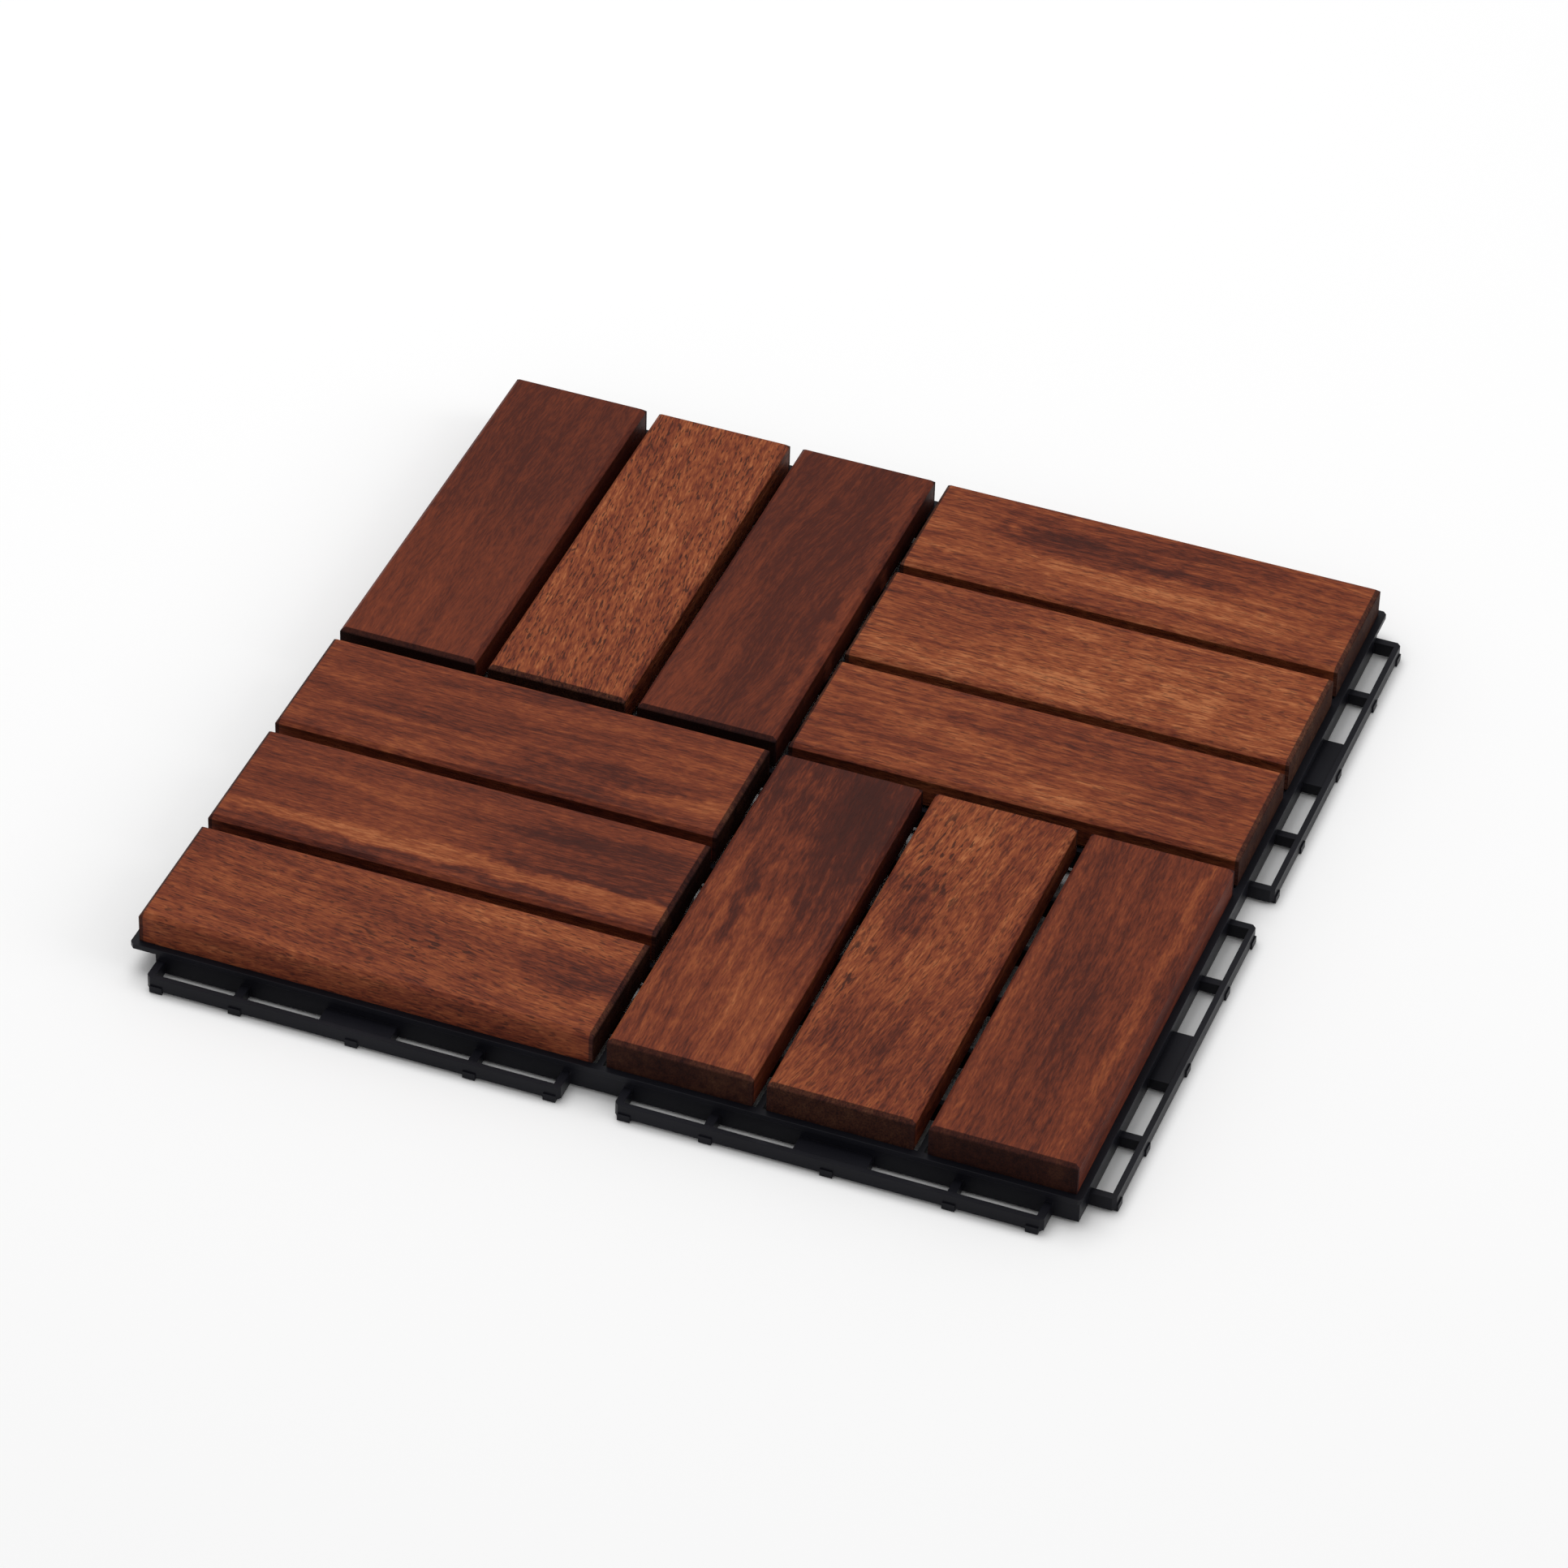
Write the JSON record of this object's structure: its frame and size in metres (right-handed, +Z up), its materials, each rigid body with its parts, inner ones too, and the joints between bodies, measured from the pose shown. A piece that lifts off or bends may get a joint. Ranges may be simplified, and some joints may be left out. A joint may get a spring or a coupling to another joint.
{
  "type": "interlocking deck tile",
  "caption": "Square outdoor deck tile: hardwood slats in a basket weave, screwed from below to an open plastic grid with loop bars on two sides and pegs on the other two.",
  "frame": {"origin": "the middle of the tile's square, on the ground, in the middle of the centre foot", "axes": "+Z up, out of the deck face; +X to the right, where two loop bars are; -Y to the front, where the other two loop bars are"},
  "size_m": [0.3078, 0.3078, 0.02],
  "materials": {
    "plastic": "moulded, slightly glossy black",
    "hardwood": "oiled red-brown hardwood",
    "screw_steel": "zinc-plated steel"
  },
  "bodies": {
    "root": {"base_grid": "plastic", "slat_front_left_1": "hardwood", "slat_front_left_2": "hardwood", "slat_front_left_3": "hardwood", "slat_front_right_1": "hardwood", "slat_front_right_2": "hardwood", "slat_front_right_3": "hardwood", "slat_back_left_1": "hardwood", "slat_back_left_2": "hardwood", "slat_back_left_3": "hardwood", "slat_back_right_1": "hardwood", "slat_back_right_2": "hardwood", "slat_back_right_3": "hardwood", "screws": "screw_steel"}
  },
  "joints": []
}
